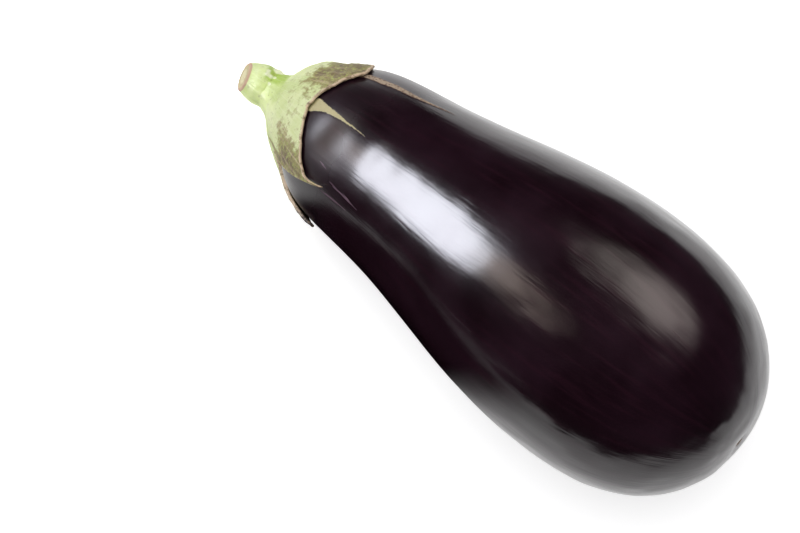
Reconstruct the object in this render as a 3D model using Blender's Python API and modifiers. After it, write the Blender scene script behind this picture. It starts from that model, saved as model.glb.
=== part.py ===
"""A half-long dark eggplant, picked with its stem and lying on its side.

Each piece is modelled as the fruit hangs: the crown at the origin, the stem up along +Z and the
blossom end down along -Z.  An empty then lays all of them down, so that the fruit rests on its
belly and on its neck, with the stem towards -X.  Lengths are in metres and angles in degrees.
"""
from math import atan2, cos, degrees, exp, hypot, pi, radians, sin, sqrt

import bpy
from mathutils import Vector

MM = 0.001

# The fruit: control points of its outline, as (distance below the crown, radius) in millimetres.
OUTLINE = [(0, 0), (0, 7.5), (4, 16), (10.4, 23.2), (17.8, 28.4), (32, 32.2), (55, 34), (80, 39.6),
           (107, 45.6), (133, 48.2), (161, 47.5), (187, 38.5), (202.5, 17), (203, 0)]
LENGTH = 203 * MM
OUTLINE_SAMPLES = 800   # how finely the way over the skin is measured
SKIN_ROWS = 38          # spans along the outline
SKIN_STEPS = 60         # spans round the fruit
BEND_UP = 1.6 * MM      # how far the middle of the fruit bows up as it lies
BEND_SIDE = 1.0 * MM    # and how far it bows to +Y
SWAY_SIDE = 0.34 * MM   # an S-shaped part of the sideways bow
OVAL = 0.010            # out-of-round, as shares of the radius, and where each one peaks
OVAL_AT = 32
LOBED = 0.006
LOBED_AT = 47
PRESSED = 0.5 * MM      # how deep its own weight flattens the skin where it rests
SLAB_DEPTH = 10 * MM
NECK_SHARE = 1 / 3      # the neck rests within this share of the length, the belly past it
STEEPEST_REST = 20      # degrees that the axis can be tilted, stem end down, as the fruit lies

# The calyx: a leathery cup that grips the crown, thick at its collar and drawn out into five lobes.
GAP = 0.3 * MM          # clearance between pieces that touch
CALYX_STEPS = 96        # spans round the calyx
CALYX_SECTION = 20      # points round its cross-section
COLLAR_RADIUS = 7.6 * MM
COLLAR_SHIFT = 1.6 * MM # the collar and the stem grow off the middle of the crown
COLLAR_SHIFT_AT = -100
FLARE_HEIGHT = 4.5 * MM # the collar's steep foot of the stem
FLARE_WIDTH = 2.5 * MM
UPRIGHT_REACH = 10 * MM # the collar stands straight up at its hole and leans onto the skin over this reach
FLESH_THICK = 5.8 * MM  # the fleshy shoulder under it
FLESH_REACH = 20 * MM   # and the reach where that has thinned by half
LEAF_THICK = 1.0 * MM   # the papery lobes
EDGE_THINNING = 0.65    # the share of the flesh that is gone at the rim
# The rim, anticlockwise seen from the stem: direction, reach over the skin (mm), lift off the skin (mm)
# and how far round the crown the lobe's edge is swung from its root (degrees).
RIM = [(-9, 29.4, 0.2, 0), (4, 29.9, 0.2, 0), (15, 32.4, 0.3, 0), (25, 35.3, 0.5, 0), (37, 37.3, 1.1, 0),
       (45, 37.4, 1.3, 0), (54, 35, 0.7, 2), (66, 31, 0.3, 0), (80, 28.5, 0.2, 0), (92, 30, 0.2, 0),
       (106, 37, 0.4, 0), (117, 44, 0.8, 3), (126, 46, 0.9, 5), (136, 42, 0.6, 2), (150, 34, 0.2, 0),
       (163, 28.5, 0, 0), (180, 27, 0, 0), (-168, 28.5, 0, 0), (-158, 34, 0.1, -2), (-149, 38, 0.4, -3),
       (-141, 33, 0.3, 0), (-135, 34, 0.3, 3), (-128, 42, 0.5, 14), (-122, 49, 0.7, 22), (-118, 53, 0.7, 25),
       (-114, 48, 0.7, 20), (-110, 40, 0.5, 12), (-106, 30, 0.3, 4), (-100, 23, 0.2, 0), (-84, 21.5, 0.2, 0),
       (-70, 22, 0.2, 0), (-65, 29, 0.4, 2), (-61, 40, 0.6, 4), (-58, 53, 0.8, 10), (-54, 46.5, 0.5, 1),
       (-50, 43.8, 0.4, 0), (-40, 39.3, 0.3, 0), (-29, 35.2, 0.2, 0), (-18, 32, 0.2, 0)]

# The stem: a stout stub that narrows and bends over towards its cut end.
STEM_HEIGHT = 24.5 * MM       # above the crown
STEM_FOOT = 0.5 * MM          # the bottom of the plug, just clear of the crown
STEM_CUT_RADIUS = 5.2 * MM
STEM_CUT_EDGE = 0.5 * MM
STEM_NECK_RADIUS = 7.4 * MM   # where the stem grows out of the collar
STEM_NECK_HEIGHT = 11.5 * MM
STEM_ROWS = 8
STEM_STEPS = 32
STEM_BEND = 4.6 * MM          # how far the cut end leans over
STEM_BEND_AT = -43            # and in which direction
STEM_BEND_POWER = 1.6


def outline_at(u):
    """Distance below the crown and radius on the outline; u is 0 at the crown and 1 at the blossom end."""
    points = [(x * MM, r * MM) for x, r in OUTLINE]
    points = [(points[1][0], -points[1][1])] + points + [(points[-2][0], -points[-2][1])]
    spans = len(points) - 3
    first = min(int(u * spans), spans - 1)
    f = u * spans - first
    spline = ((1 - f) ** 3, 3 * f ** 3 - 6 * f ** 2 + 4, -3 * f ** 3 + 3 * f ** 2 + 3 * f + 1, f ** 3)
    return [sum(w * points[first + k][axis] for k, w in enumerate(spline)) / 6 for axis in (0, 1)]


def skin_lines():
    """Close points of the outline: reach (the way over the skin from the axis), distance and radius."""
    lines = []
    reach = 0.0
    last = (0.0, 0.0)
    for i in range(OUTLINE_SAMPLES + 1):
        distance, radius = outline_at(i / OUTLINE_SAMPLES)
        reach += hypot(distance - last[0], radius - last[1])
        lines.append((reach, distance, radius))
        last = (distance, radius)
    return lines


SKIN = skin_lines()


def skin_at(reach):
    """Distance, radius and outward normal (along the distance, along the radius) at a reach over the skin."""
    index = 1
    while SKIN[index][0] < reach and index < len(SKIN) - 1:
        index += 1
    a, b = SKIN[index - 1], SKIN[index]
    f = (reach - a[0]) / (b[0] - a[0])
    run, rise = b[1] - a[1], b[2] - a[2]
    length = hypot(run, rise)
    return a[1] + f * run, a[2] + f * rise, -rise / length, run / length


def roundness(angle):
    """The share of the outline's radius that the fruit has in one direction."""
    return 1 + OVAL * cos(2 * radians(angle - OVAL_AT)) + LOBED * cos(3 * radians(angle - LOBED_AT))


def middle(distance):
    """How far the fruit's centre line is from the straight axis, as x and y."""
    share = min(max(distance / LENGTH, 0), 1)
    return BEND_UP * sin(pi * share), BEND_SIDE * sin(pi * share) + SWAY_SIDE * sin(2 * pi * share)


def grown(distance, radius, angle):
    """The place of a point that would be at this radius on a straight round fruit."""
    x, y = middle(distance)
    size = radius * roundness(angle)
    return Vector((x + size * cos(radians(angle)), y + size * sin(radians(angle)), -distance))


def lying_height(distance, radius, tilt):
    """The height of a point of the underside, above the crown's centre, when the fruit lies at this tilt."""
    return grown(distance, radius, 180).x * cos(tilt) + distance * sin(tilt)


def lowest(tilt, start, end):
    """The lowest height of the underside between two distances."""
    return min(lying_height(d, r, tilt) for _, d, r in SKIN if start <= d <= end)


def resting_tilt():
    """The tilt at which the neck and the belly touch the ground together, found by halving."""
    neck_end = NECK_SHARE * LENGTH
    low, high = 0.0, radians(STEEPEST_REST)
    for _ in range(40):
        tilt = (low + high) / 2
        if lowest(tilt, 0, neck_end) > lowest(tilt, neck_end, LENGTH):
            low = tilt
        else:
            high = tilt
    return tilt


def collection(name):
    """A new collection in the scene."""
    made = bpy.data.collections.new(name)
    bpy.context.scene.collection.children.link(made)
    return made


def material(name, colour, roughness, coat=0.0):
    """A Principled material."""
    made = bpy.data.materials.new(name)
    made.use_nodes = True
    shader = made.node_tree.nodes["Principled BSDF"]
    shader.inputs["Base Color"].default_value = (*colour, 1)
    shader.inputs["Roughness"].default_value = roughness
    shader.inputs["Metallic"].default_value = 0.0
    shader.inputs["Coat Weight"].default_value = coat
    return made


def turned(name, profile, steps):
    """A mesh turned round Z from a profile of (radius, height) points that runs top to bottom."""
    mesh = bpy.data.meshes.new(name + "_profile")
    mesh.from_pydata([(r, 0, z) for r, z in profile], [(i, i + 1) for i in range(len(profile) - 1)], [])
    line = bpy.data.objects.new(name + "_profile", mesh)
    bpy.context.scene.collection.objects.link(line)
    screw = line.modifiers.new("turn", "SCREW")
    screw.steps = steps
    screw.render_steps = steps
    screw.use_merge_vertices = True
    screw.merge_threshold = 0.00001
    depsgraph = bpy.context.evaluated_depsgraph_get()
    made = bpy.data.meshes.new_from_object(line.evaluated_get(depsgraph))
    made.name = name
    bpy.data.objects.remove(line)
    return made


def piece(name, mesh, look, group, parent):
    """An object of this mesh, in its collection and under its parent."""
    made = bpy.data.objects.new(name, mesh)
    group.objects.link(made)
    made.parent = parent
    mesh.materials.clear()
    mesh.materials.append(look)
    mesh.shade_smooth()
    return made


def fruit_mesh():
    """The fruit: the outline turned round, then bowed and made a little out of round."""
    outline = [outline_at(i / SKIN_ROWS) for i in range(SKIN_ROWS + 1)]
    mesh = turned("fruit", [(radius, -distance) for distance, radius in outline], SKIN_STEPS)
    for vertex in mesh.vertices:
        x, y, z = vertex.co
        vertex.co = grown(-z, hypot(x, y), degrees(atan2(y, x)))
    return mesh


def between(share, low, high):
    """The value at a share of the way from low to high."""
    return low + (high - low) * share


def calyx_rim(angle):
    """The reach, lift and swing of the calyx's rim in one direction."""
    for index, (start, *here) in enumerate(RIM):
        stop, *after = RIM[(index + 1) % len(RIM)]
        share = ((angle - start) % 360) / ((stop - start) % 360)
        if share <= 1:
            reach, lift, swing = (between(share, low, high) for low, high in zip(here, after))
            return reach * MM, lift * MM, swing


def collar_reach(angle):
    """How far the collar's inside is from the middle of the crown, which it is shifted off."""
    off = radians(angle - COLLAR_SHIFT_AT)
    return COLLAR_SHIFT * cos(off) + sqrt(COLLAR_RADIUS ** 2 - (COLLAR_SHIFT * sin(off)) ** 2)


def calyx_thickness(reach, out, from_hole):
    """The thickness of the calyx: reach is the way over the skin, out is 0 at the hole and 1 at the rim."""
    flesh = FLESH_THICK / (1 + (reach / FLESH_REACH) ** 5) * (1 - EDGE_THINNING * out ** 3)
    return LEAF_THICK + flesh + FLARE_HEIGHT * exp(-from_hole / FLARE_WIDTH)


def calyx_point(angle, turn):
    """A point of the calyx; turn goes round its cross-section, from the rim over the outside to the hole."""
    rim, lift, swing = calyx_rim(angle)
    collar = collar_reach(angle)
    out = (1 + cos(turn)) / 2
    reach = between(out, collar, rim)
    side = min(max(sin(turn) / sin(2 * pi / CALYX_SECTION), -1), 1)
    height = GAP + lift * out ** 3 + calyx_thickness(reach, out, reach - collar) * (side + 1) / 2
    distance, radius, along, outward = skin_at(reach)
    upright = max(0, 1 - (reach - collar) / UPRIGHT_REACH)
    direction = Vector((between(upright, along, -1), between(upright, outward, 0))).normalized()
    angle += swing * out ** 3
    return grown(distance + direction.x * height, radius + direction.y * height, angle)


def calyx_mesh():
    """The calyx: a ring round the stem, its cross-section drawn out over the crown and down into lobes."""
    bpy.ops.mesh.primitive_torus_add(major_segments=CALYX_STEPS, minor_segments=CALYX_SECTION,
                                     major_radius=1.0, minor_radius=0.4)
    ring = bpy.context.object
    mesh = ring.data
    for vertex in mesh.vertices:
        x, y, z = vertex.co
        vertex.co = calyx_point(degrees(atan2(y, x)), atan2(z, hypot(x, y) - 1.0))
    bpy.data.objects.remove(ring)
    mesh.name = "calyx"
    return mesh


def stem_profile():
    """The stem from its cut end down: a cone that flares over the collar, then a plug inside the collar."""
    top = STEM_HEIGHT - STEM_CUT_EDGE
    foot = STEM_NECK_HEIGHT + 2 * GAP
    points = [(0, STEM_HEIGHT), (STEM_CUT_RADIUS - STEM_CUT_EDGE, STEM_HEIGHT)]
    for row in range(STEM_ROWS + 1):
        down = row / STEM_ROWS
        lip = (COLLAR_RADIUS + GAP - STEM_NECK_RADIUS) * down ** 6
        points.append((between(down, STEM_CUT_RADIUS, STEM_NECK_RADIUS) + lip, between(down, top, foot)))
    plug = COLLAR_RADIUS - GAP
    return points + [(plug, foot), (plug, STEM_FOOT + GAP), (plug - GAP, STEM_FOOT), (0, STEM_FOOT)]


def stem_middle(height):
    """The middle of the stem at a height above the crown: upright in the collar, then bent over."""
    above = max(0.0, height - STEM_NECK_HEIGHT) / (STEM_HEIGHT - STEM_NECK_HEIGHT)
    shift = STEM_BEND * above ** STEM_BEND_POWER
    x = COLLAR_SHIFT * cos(radians(COLLAR_SHIFT_AT)) + shift * cos(radians(STEM_BEND_AT))
    y = COLLAR_SHIFT * sin(radians(COLLAR_SHIFT_AT)) + shift * sin(radians(STEM_BEND_AT))
    return Vector((x, y, height))


def stem_mesh():
    """The stem: turned, then each level moved onto the bent middle line and squared up to it."""
    mesh = turned("stem", stem_profile(), STEM_STEPS)
    for vertex in mesh.vertices:
        x, y, z = vertex.co
        here = stem_middle(z)
        course = here - stem_middle(z - MM)
        upright = Vector((0, 0, 1)).rotation_difference(course)
        vertex.co = here + upright @ Vector((x, y, 0))
    return mesh


def lay_down(root, pieces):
    """Turns the empty so that the fruit lies, and moves it so that the origin is under the pieces' middle."""
    tilt = resting_tilt()
    root.rotation_euler = (0, -(pi / 2 + tilt), 0)
    bpy.context.view_layer.update()
    corners = [thing.matrix_world @ vertex.co for thing in pieces for vertex in thing.data.vertices]
    for axis in (0, 1):
        values = [corner[axis] for corner in corners]
        root.location[axis] = -(min(values) + max(values)) / 2
    root.location.z = -PRESSED - min(corner.z for corner in corners)
    bpy.context.view_layer.update()


def flatten(fruit, cutters):
    """Cuts the fruit level with the ground, which leaves the flats that it rests on."""
    bpy.ops.mesh.primitive_cube_add(size=1, location=(0, 0, -SLAB_DEPTH / 2))
    slab = bpy.context.object
    slab.name = "ground_cutter"
    slab.scale = (2 * LENGTH, LENGTH, SLAB_DEPTH)
    for owner in list(slab.users_collection):
        owner.objects.unlink(slab)
    cutters.objects.link(slab)
    slab.hide_render = True
    slab.display_type = "WIRE"
    cut = fruit.modifiers.new("flats", "BOOLEAN")
    cut.operation = "DIFFERENCE"
    cut.solver = "EXACT"
    cut.object = slab


def main():
    """Builds the three pieces, lays them down and flattens the fruit where it rests."""
    for thing in list(bpy.data.objects):
        bpy.data.objects.remove(thing)
    eggplant = collection("eggplant")
    cutters = collection("cutters")
    root = bpy.data.objects.new("lying_fruit", None)
    eggplant.objects.link(root)
    skin = material("dark_skin", (0.012, 0.003, 0.006), 0.22, 0.5)
    leather = material("green_calyx", (0.46, 0.50, 0.26), 0.6)
    flesh = material("green_stem", (0.62, 0.74, 0.34), 0.55)
    fruit = piece("fruit", fruit_mesh(), skin, eggplant, root)
    calyx = piece("calyx", calyx_mesh(), leather, eggplant, root)
    stem = piece("stem", stem_mesh(), flesh, eggplant, root)
    lay_down(root, [fruit, calyx, stem])
    flatten(fruit, cutters)


main()
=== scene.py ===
"""A half-long dark eggplant, picked with its stem and lying on a pale floor.

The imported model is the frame.  The fruit, its calyx and its stem are shaped as they hang, in millimetres: the
crown at the origin, the stem up along +Z and the blossom end down along -Z.  Each one is then laid down where
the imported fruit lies.  "Distance" runs from the crown to the blossom end, "reach" is the way over the skin
from the axis, and "angle" goes round the axis in degrees.  The stage is in metres, where the fruit lies.
"""
from itertools import product
from math import cos, pi, radians, sin

import bpy
import numpy as np
from bpy.props import FloatProperty, FloatVectorProperty, IntProperty, PointerProperty
from mathutils import Matrix, Vector


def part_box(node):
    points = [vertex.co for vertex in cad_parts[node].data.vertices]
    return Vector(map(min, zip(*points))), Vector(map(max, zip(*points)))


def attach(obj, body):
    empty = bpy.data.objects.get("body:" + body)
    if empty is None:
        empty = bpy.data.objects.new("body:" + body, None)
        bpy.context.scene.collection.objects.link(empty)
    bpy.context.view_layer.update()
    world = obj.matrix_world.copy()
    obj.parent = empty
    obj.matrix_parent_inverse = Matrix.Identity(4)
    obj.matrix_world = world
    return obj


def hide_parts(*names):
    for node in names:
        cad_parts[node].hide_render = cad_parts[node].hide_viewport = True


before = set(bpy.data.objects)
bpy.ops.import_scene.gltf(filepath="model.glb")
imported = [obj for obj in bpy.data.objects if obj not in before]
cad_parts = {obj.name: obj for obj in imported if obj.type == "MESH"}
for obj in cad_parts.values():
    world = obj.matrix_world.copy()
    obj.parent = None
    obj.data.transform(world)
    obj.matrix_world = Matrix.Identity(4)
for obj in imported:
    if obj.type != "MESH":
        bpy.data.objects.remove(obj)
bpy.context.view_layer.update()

bl_info = {
    "name": "Eggplant",
    "version": (1, 0, 0),
    "blender": (4, 5, 0),
    "location": "View3D > Sidebar > Eggplant",
    "description": "Builds a dark eggplant with its calyx and stem around a packed model",
    "category": "Add Mesh",
}

MM = 0.001

# The fruit's outline: control points of a cubic spline, as (distance, radius).
OUTLINE = [(0, 0), (0, 7.5), (4, 16), (10.4, 23.2), (17.8, 28.4), (32, 32.2), (55, 34), (80, 39.6),
           (107, 45.6), (133, 48.2), (161, 47.5), (187, 38.5), (202.5, 17), (203, 0)]
LENGTH = 203
OUTLINE_SAMPLES = 1600
BEND_UP = 1.6            # how far the middle of the fruit bows up as it lies
BEND_SIDE = 1.0          # and how far it bows to +Y
SWAY_SIDE = 0.34         # an S-shaped part of the sideways bow
OVAL, OVAL_AT = 0.010, 32     # out-of-round, as shares of the radius, and where each one peaks
LOBED, LOBED_AT = 0.006, 47
LYING_TILT = 9.602       # degrees that the axis dips towards the stem when neck and belly both touch
PRESSED = 0.5            # how deep its own weight flattens the skin where it rests

# Smooth random relief, in layers of (width, height, squeeze along the axis, seed).  The swells' heights are
# shares of the fruit's unevenness; the others are in mm.
GRAIN_CELLS = 32
SWELLS = [(30, 1.0, 0.6, 1), (13, 0.5, 0.7, 2)]
FINE_SWELLS = [(7, 0.22, 0.8, 3), (4, 0.1, 0.3, 4)]
BELLY_FROM, BELLY_FULL, BELLY_GAIN = 110, 140, 1.3     # the fine swells grow towards the belly
RAGGED = [(2.6, 0.8, 1, 21), (1.2, 0.6, 1, 22)]
LUMPS = [(5.2, 0.22, 1, 31), (2.3, 0.12, 1, 32), (1.1, 0.05, 1, 33)]
FIBRES = [(1.5, 0.09, 1, 34), (0.7, 0.05, 1, 35)]
WRINKLES = [(1.5, 0.14, 1, 41), (0.8, 0.08, 1, 42)]

WAIST_AT, WAIST_LENGTH, WAIST_DEPTH = 43, 7, 0.5     # a slight waist in the neck, on one side of it
WAIST_SIDE, WAIST_SPREAD = -15, 35

# The calyx: a leathery cup on the crown.  Its rim is given anticlockwise seen from the stem, as direction,
# reach, lift off the skin, swing round the crown (degrees) and how far that part has dried (0 to 1, and above
# 1 where it is scorched).
GAP = 0.3
SEAM_REACH = 7.4         # where the calyx ends and the stem begins
FLESH_THICK = 5.8
FLESH_REACH = 20
LEAF_THICK = 1.0
EDGE_THINNING = 0.65
OUTER_SHARE = 0.66       # the share of the calyx's cross-section that is its outside
FOOT = [(3.6, 3.9), (3.5, 0.9)]     # the collar's rise to the stem, as (height, width) of two flares
UPRIGHT_REACH = 10
COLLAR_SHIFT, COLLAR_SHIFT_AT = 1.6, -100     # the collar and the stem grow off the middle of the crown
SHIFT_REACH = 16
SWELL_FROM, SWELL_FULL = 12, 24     # from this reach on, the calyx follows the swells of the skin under it
RIM = [(-9, 29.4, 0.3, 0, 0.1), (4, 29.9, 0.3, 0, 0.3), (15, 32.4, 0.4, 0, 0.7), (25, 35.3, 0.2, 0, 0.9),
       (37, 37.3, 0.3, 0, 1), (45, 37.4, 0.4, 0, 1), (54, 35, 0.1, 2, 0.9), (66, 31, 0.0, 0, 0.5),
       (80, 28.5, 0.3, 0, 0.3), (92, 30, 0.3, 0, 0.4), (106, 37, 0.5, 0, 0.7), (117, 44, 0.9, 3, 0.9),
       (126, 46, 1.0, 5, 1), (136, 42, 0.7, 2, 0.8), (150, 34, 0.3, 0, 0.4), (163, 28.5, 0.2, 0, 0.2),
       (180, 27, 0.2, 0, 0.1), (192, 28.5, 0.2, 0, 0.2), (202, 34, 0.3, -2, 0.5), (211, 38, 0.5, -3, 0.8),
       (219, 33, 0.3, 0, 0.5), (225, 34, 0.4, 3, 0.7), (232, 42, 0.2, 14, 1.3), (238, 49, 0.1, 22, 1.6),
       (242, 53, 0.0, 25, 1.7), (246, 48, 0.1, 20, 1.6), (250, 40, 0.2, 12, 1.3), (254, 30, 0.3, 4, 0.4),
       (260, 23, 0.2, 0, 0.1), (276, 21.5, 0.2, 0, 0), (290, 22, 0.2, 0, 0.2), (295, 29, 0.4, 2, 0.7),
       (299, 42, 0.6, 5, 1), (302, 56.5, 0.9, 14, 1), (306, 50, 0.7, 4, 1), (310, 44.6, 0.5, 0, 0.9),
       (320, 39.3, 0.4, 0, 0.45), (331, 35.2, 0.3, 0, 0.15), (342, 32, 0.3, 0, 0.1)]
RIM_STEP = 0.25          # degrees between the places at which the rim is worked out
RIM_SOFTNESS = 1.2       # degrees over which its corners are rounded
RIM_RADIUS = 32          # the circle on which its raggedness is laid out
SPREAD_RADIUS = 27       # faces are spaced as evenly along the rim as on a circle of this radius
RAGGED_GREEN = 0.3       # how ragged an edge is that hasn't dried, as a share of a dried one's
CURL, CURL_WIDTH, CURL_SEED = 0.2, 2.2, 23     # how far a dried edge curls up, in waves of this width
DRY_FROM, DRY_FULL = 0.34, 0.56     # the shares of the way to the rim between which a lobe dries
SMOOTH_RIM = 2.2         # the relief dies out over this way to the rim
FAR_FROM_RIM = 20        # what the stem notes for its way to the rim, so that it gets no cream edge
HUMP_AT, HUMP_REACH, HUMP_HEIGHT = 66, 17, 1.2      # a swollen fold across the widest lobe
HUMP_SPREAD, HUMP_LENGTH = 26, 4
RIBS = [35, 126, 206, 247, 315]     # the directions in which the stem's ribs run out into the lobes
RIB_WIDTH = 17
RIB_RISE = [(-12, 0.2), (-4, 0.4), (3, 0.6), (12, 0.4), (24, 0.1)]     # as (way down from the seam, height)
RIB_HOLLOW = 0.3         # how much of a rib's height the hollows between ribs lie lower
FIBRE_CIRCLE, FIBRE_STRETCH = 22, 7     # fibres are laid out on this circle and run lengthwise

# The stem: a stout stub that narrows and bends over towards its cut end.
STEM_HEIGHT = 24.5
STEM_CUT_RADIUS = 5.6
STEM_CUT_EDGE = 0.8
STEM_SWELL = 1.2
STEM_FLARE, STEM_FLARE_HEIGHT = 0.2, 1.6
STEM_BEND, STEM_BEND_AT, STEM_BEND_POWER = 4.6, -43, 1.5
STEM_RING_SHARES = (0.17, 0.06, 0.62, 0.05)     # its rows: cut face, edge, side and sunk foot; then the plug
PLUG_RADIUS, PLUG_FOOT = 6.6, 3.0
SUNK_STEP = 0.3          # the height of each row of the sunk foot, whose relief fades
SUNK_DEPTH = 2.5
CUT_SLANT, CUT_SLANT_AT, CUT_SLANT_HEIGHT = 0.17, -10, 7     # the knife went across a little askew
CUT_DISH, CUT_DISH_RADIUS = 0.35, 2.2     # the pith has shrunk into the cut face
CUT_GRAIN, CUT_GRAIN_WIDTH, CUT_GRAIN_SEED = 0.12, 0.9, 51
BED_AT, BED_SPREAD = 36, 38          # where the green patch with the blisters lies round the stem
BED_HEIGHT, BED_LENGTH = 14.5, 4.2     # and up it
CLOSE_BLISTERS, STRAY_BLISTERS = 15, 22
BLISTER_SEED = 7
BLISTER_STRETCH = 1.6    # how many times longer than wide a blister is

# The marks on the skin: their middle lines, as (distance, angle, half width).
HUSK_SCAR = [(11, -6, 3.1), (14.2, -5, 2.8), (16, -4.3, 2.2), (18, -4, 1.6), (20.5, -3.6, 1.15),
             (25, -3.5, 0.75), (29, -3.9, 0.4), (33, -4, 0.2), (36, -4.3, 0.08), (39, -4.6, 0.0)]
CORK_STREAK = [(15, 31, 0.6), (17.2, 33.5, 1.1), (20, 38, 1.4), (24, 38, 1.5), (28, 38, 1.5), (32, 39.4, 1.4),
               (38.3, 40, 1.15), (42.5, 41, 0.85), (48.6, 42.5, 0.5), (55, 44, 0.15), (57, 44.5, 0.0)]
SCRATCHES = [[(34.5, -51.5, 0), (38, -51.2, 0.3), (43, -50.8, 0.25), (48, -50.5, 0)],
             [(37, -42, 0), (40, -43, 0.25), (47, -44, 0.3), (52.5, -44.8, 0)],
             [(29, -34.8, 0), (31, -35.5, 0.25), (34.5, -37.3, 0)],
             [(43.5, -42.3, 0), (46, -43.2, 0.2), (49.5, -44.4, 0)]]
NO_MARK = -6             # the half width past a mark's ends
CORK_PROUD, SCAR_SUNK, MARK_EDGE = 0.12, 0.08, 0.8     # the streak stands proud and the wedge lies sunk

# The widths of the grains that the materials' patterns are made of.
CLOUDS = 28              # clouds of thinner and thicker skin
STREAKS = 1.6            # faint lengthwise streaks
HAIRLINES = 0.5          # and the finest fibres between them
PORES = 0.7
CORK_SPECKS = 0.9
BLOTCHES = 5.5           # pale and green blotches of the calyx
MOTTLE = 2.2
SPECKS = 1.3
VEINS = 1.3
GRIT = 0.6
DOTS = 2.1               # the way between the calyx's small dark dots
STREAK_STRETCH = 14      # how many times longer than wide the skin's streaks are
WRAP_RADIUS = 42         # about the fruit's own radius, so that streaks keep their width
BLOOM_FROM, BLOOM_FULL = -34, -14     # the heights between which the neck's dull bloom sets in
TIP_FROM, TIP_FULL = -190, -196     # and those between which the blossom end's cork does

# The stage: where the two highlights sit on the fruit, and the directions that the light comes from.
SHOULDER, BELLY = (-0.0225, -0.0105, 0.0736), (0.0577, 0.0094, 0.0975)
KEY_FROM, FILL_FROM, FLAG_FROM = (-0.79, -0.324, 0.521), (-0.107, 0.57, 0.814), (0, 0.36, 0.933)
KEY_AWAY, SPILL_AWAY, FILL_AWAY = 1.0, 1.12, 1.0
KEY_SIZE, SPILL_SIZE, FILL_SIZE = (0.57, 0.86), (2.4, 0.8), (1.35, 1.05)
SHEET_SIZE, VEIL_SIZE, FLAG_SIZE = (0.5, 0.16), (0.05, 0.09), (0.15, 0.14)
KEY_UP_NECK = 0.1        # the softbox faces this far up the neck from the shoulder
FILL_BEYOND = (0.12, 0, 0)     # and the wide one faces past the belly
FILL_ALONG = (0.95, -0.3, 0)
SHEET_AT, FLAG_AT = (0.04, 0.11, 0.002), (-0.012, -0.06, 0.03)
VEIL_TO, VEIL_ANGLE, VEIL_OFF = 41, -14, 0.06     # the thin veil hangs this far off this spot of the neck
# Each cloth's fades along and across it, as the shares at which it starts, is full, begins to fade and stops.
# A round cloth has only the share of the way from its middle at which it begins to fade.
KEY_ROUND, FILL_ROUND = 0.72, 0.15
SPILL_FADES = [(0.4, 0.5, 0.54, 0.86), (0.1, 0.4, 0.5, 0.9)]
SHEET_FADES = [(0.0, 0.3, 0.7, 1.0), (0.0, 0.15, 0.4, 0.85)]
VEIL_FADES = [(0.0, 0.02, 0.36, 0.6), (0.0, 0.3, 0.7, 1.0)]
FLAG_FADES = [(0.05, 0.14, 0.66, 0.95), (0.0, 0.2, 0.9, 1.0)]
SKY_SPREAD, SKY_LEAN = 100, 18     # degrees: how broad the light from above is, and how far it leans


def linear(code):
    """The linear colour of an sRGB hex code."""
    parts = [int(code[i:i + 2], 16) / 255 for i in (1, 3, 5)]
    return tuple(p / 12.92 if p <= 0.04045 else ((p + 0.055) / 1.055) ** 2.4 for p in parts) + (1.0,)


def colour_setting(name, code, description):
    """A colour that a user can change, with an sRGB hex code as its default."""
    return FloatVectorProperty(name=name, description=description, default=linear(code), size=4,
                               subtype="COLOR", min=0, max=1)


def size_setting(name, size, description):
    """A length that a user can change, given in mm and held in metres."""
    return FloatProperty(name=name, description=description, default=size * MM, min=0, unit="LENGTH")


# ---- shape ----------------------------------------------------------------------------------------------

def spline(control, samples):
    """Points along the cubic spline that the control points guide, mirrored at both ends."""
    control = np.array(control, float)
    control = np.vstack([control[1] * (1, -1), control, control[-2] * (1, -1)])
    u = np.linspace(0, len(control) - 3, samples)
    first = np.minimum(u.astype(int), len(control) - 4)
    f = (u - first)[:, None]
    shares = ((1 - f) ** 3, 3 * f ** 3 - 6 * f ** 2 + 4, -3 * f ** 3 + 3 * f ** 2 + 3 * f + 1, f ** 3)
    return sum(share * control[first + k] for k, share in enumerate(shares)) / 6


SKIN = spline(OUTLINE, OUTLINE_SAMPLES)
SKIN_STEPS = np.hypot(*np.diff(SKIN, axis=0).T)
SKIN_REACH = np.concatenate([[0], np.cumsum(SKIN_STEPS)])
SKIN_COURSE = np.gradient(SKIN, axis=0)
SKIN_COURSE /= np.linalg.norm(SKIN_COURSE, axis=1)[:, None]


def skin_at(reach):
    """Distance, radius and the outward normal's parts (along the distance, along the radius) at a reach."""
    columns = (SKIN[:, 0], SKIN[:, 1], -SKIN_COURSE[:, 1], SKIN_COURSE[:, 0])
    return [np.interp(reach, SKIN_REACH, column) for column in columns]


def turned(angle, radius=1.0):
    """x and y at an angle in degrees, as one array."""
    turn = np.radians(angle)
    return np.stack([radius * np.cos(turn), radius * np.sin(turn)], axis=-1)


def apart(angle, direction):
    """How many degrees an angle is past a direction, from -180 to 180."""
    return (angle - direction + 180) % 360 - 180


def grown(distance, radius, angle):
    """The places of points that would be at this radius on a straight round fruit."""
    share = np.clip(distance / LENGTH, 0, 1)
    oval = OVAL * np.cos(2 * np.radians(angle - OVAL_AT))
    lobed = LOBED * np.cos(3 * np.radians(angle - LOBED_AT))
    flat = turned(angle, radius * (1 + oval + lobed))
    x = flat[..., 0] + BEND_UP * np.sin(pi * share)
    y = flat[..., 1] + BEND_SIDE * np.sin(pi * share) + SWAY_SIDE * np.sin(2 * pi * share)
    return np.stack(np.broadcast_arrays(x, y, -distance), axis=-1)


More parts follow.
